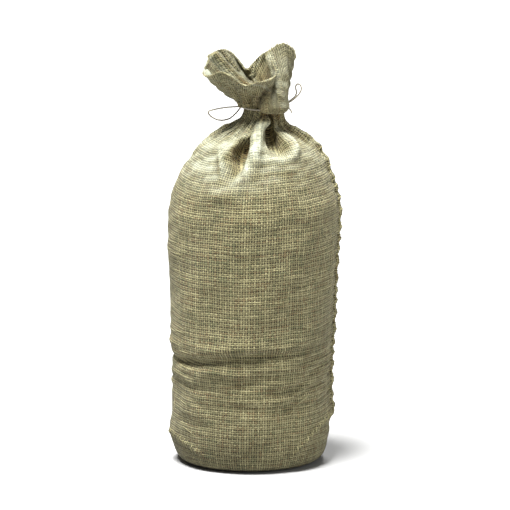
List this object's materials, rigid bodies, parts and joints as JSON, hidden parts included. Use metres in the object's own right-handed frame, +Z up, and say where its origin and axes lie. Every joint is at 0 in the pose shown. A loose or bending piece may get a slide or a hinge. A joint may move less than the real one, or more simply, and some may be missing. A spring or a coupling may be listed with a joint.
{
  "type": "hessian sandbag",
  "caption": "Filled hessian sandbag standing on its flattened base, with a side seam, a gathered open neck and a thin twine tie with two loose loops.",
  "frame": {"origin": "on the floor under the middle of the sack and its tie", "axes": "+Z up along the sack's height, front towards -Y, side seam on +X"},
  "size_m": [0.2172, 0.1976, 0.5335],
  "materials": {
    "hessian": "matte plain weave jute cloth",
    "twine": "matte twisted jute twine"
  },
  "bodies": {
    "root": {"sack": "hessian", "tie_band": "twine", "tie_knot": "twine", "loop_left": "twine", "loop_right": "twine", "twine_end": "twine"}
  },
  "joints": []
}
